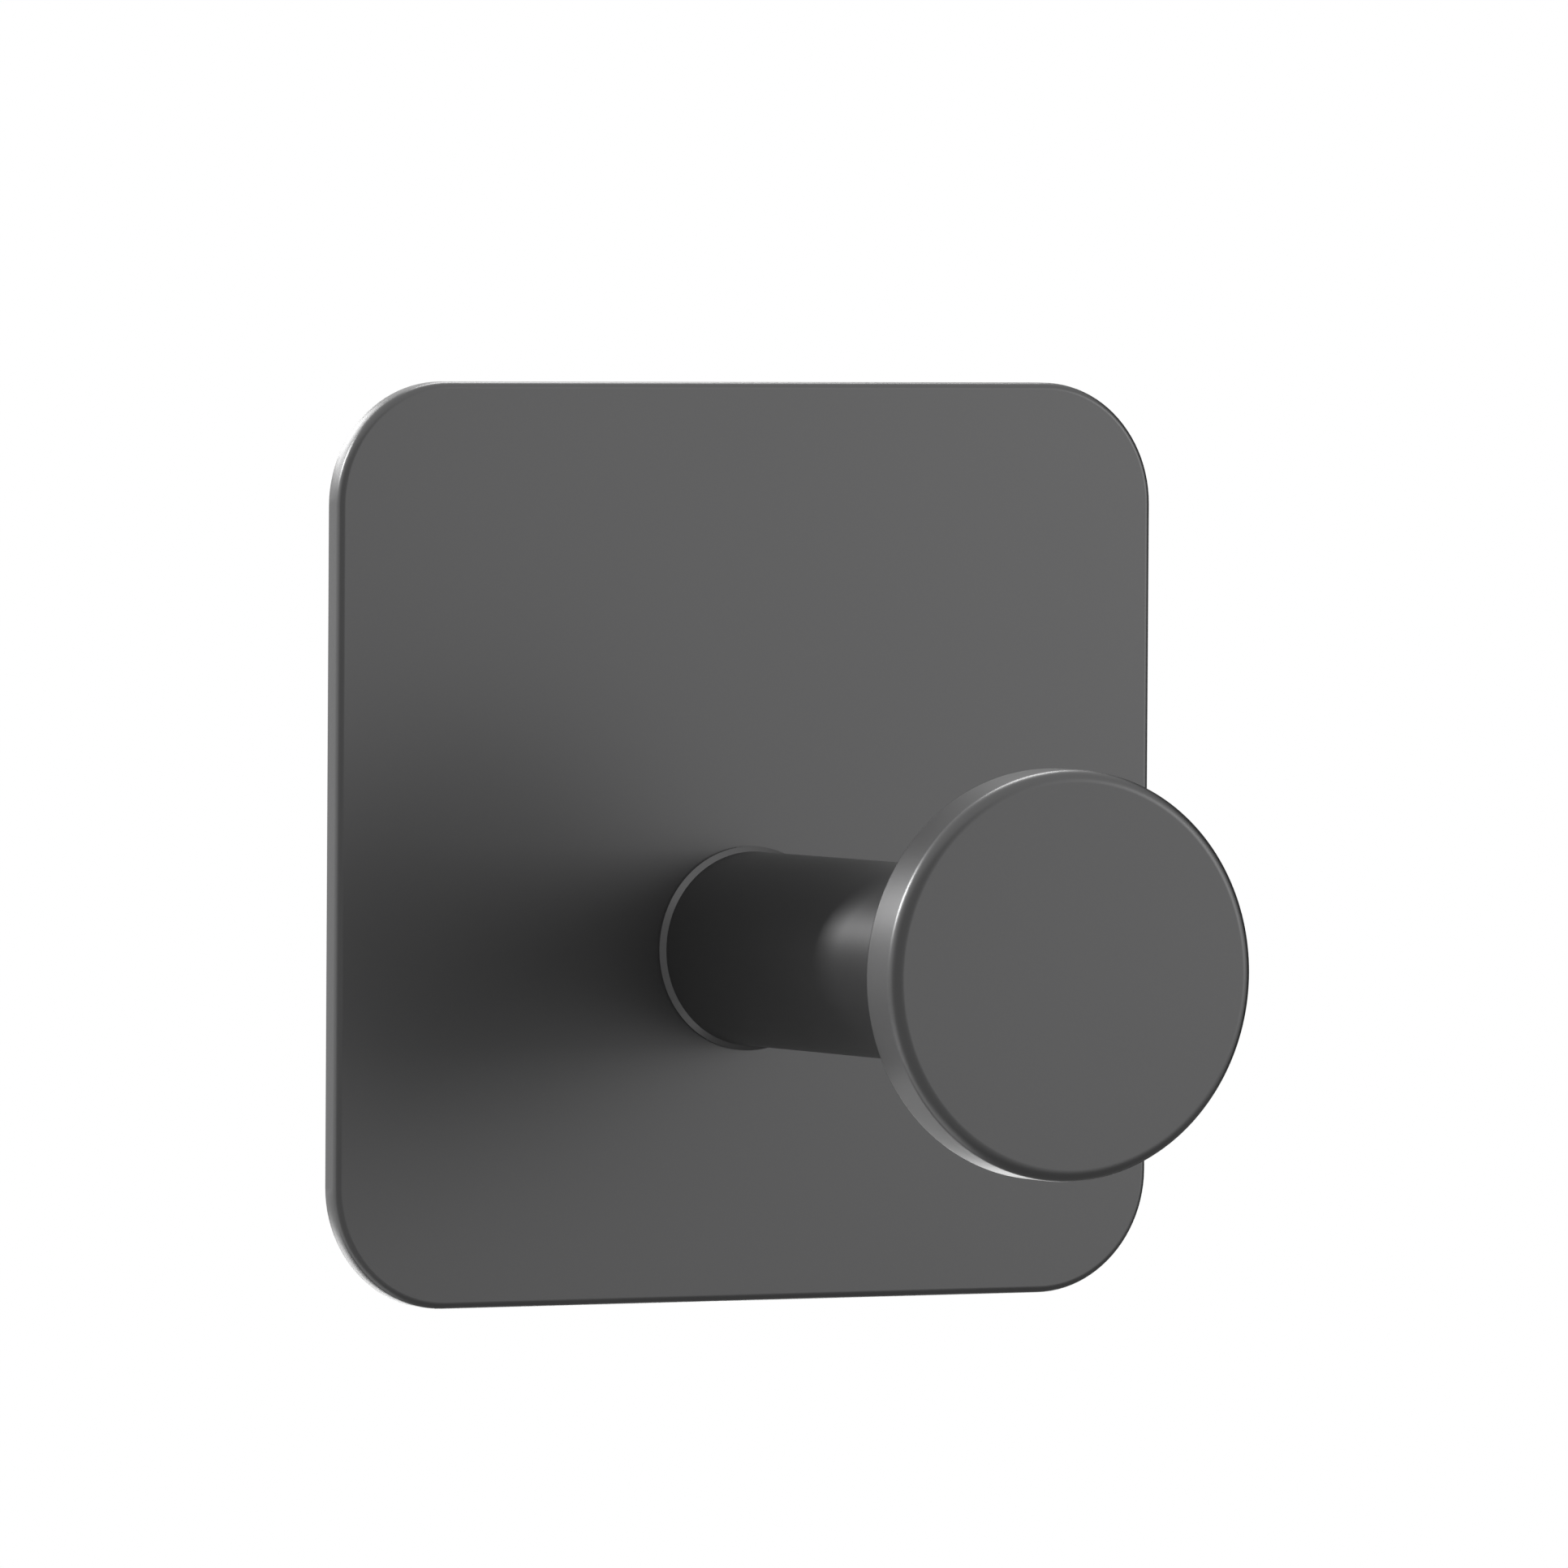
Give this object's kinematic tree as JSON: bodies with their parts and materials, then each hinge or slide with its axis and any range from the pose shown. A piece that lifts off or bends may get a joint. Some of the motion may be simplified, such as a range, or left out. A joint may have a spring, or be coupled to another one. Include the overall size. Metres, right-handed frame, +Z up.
{
  "type": "adhesive wall hook",
  "caption": "Square metal wall plate with a round post and knob disc for hanging things, held by a foam adhesive pad under a release liner.",
  "frame": {"origin": "middle of the wall face, on the rear of the release liner", "axes": "+Z up, the hook faces -Y and the wall lies towards +Y, +X to the right as seen from the front"},
  "size_m": [0.045, 0.0351, 0.045],
  "materials": {
    "satin_gunmetal": "satin dark grey",
    "screw_steel": "plain steel",
    "clear_adhesive": "tacky clear film",
    "pad_foam": "fine closed-cell foam",
    "liner_film": "smooth plastic film"
  },
  "bodies": {
    "hook": {"back_plate": "satin_gunmetal", "stem": "satin_gunmetal", "knob_disc": "satin_gunmetal", "fixing_screw": "screw_steel", "plate_side_adhesive": "clear_adhesive", "foam_core": "pad_foam", "wall_side_adhesive": "clear_adhesive"},
    "liner": {"release_liner": "liner_film"}
  },
  "joints": [
    {"name": "liner_release", "type": "slide", "parent": "hook", "child": "liner", "axis": [0, 1, 0], "range_m": [0, 0.03]}
  ]
}
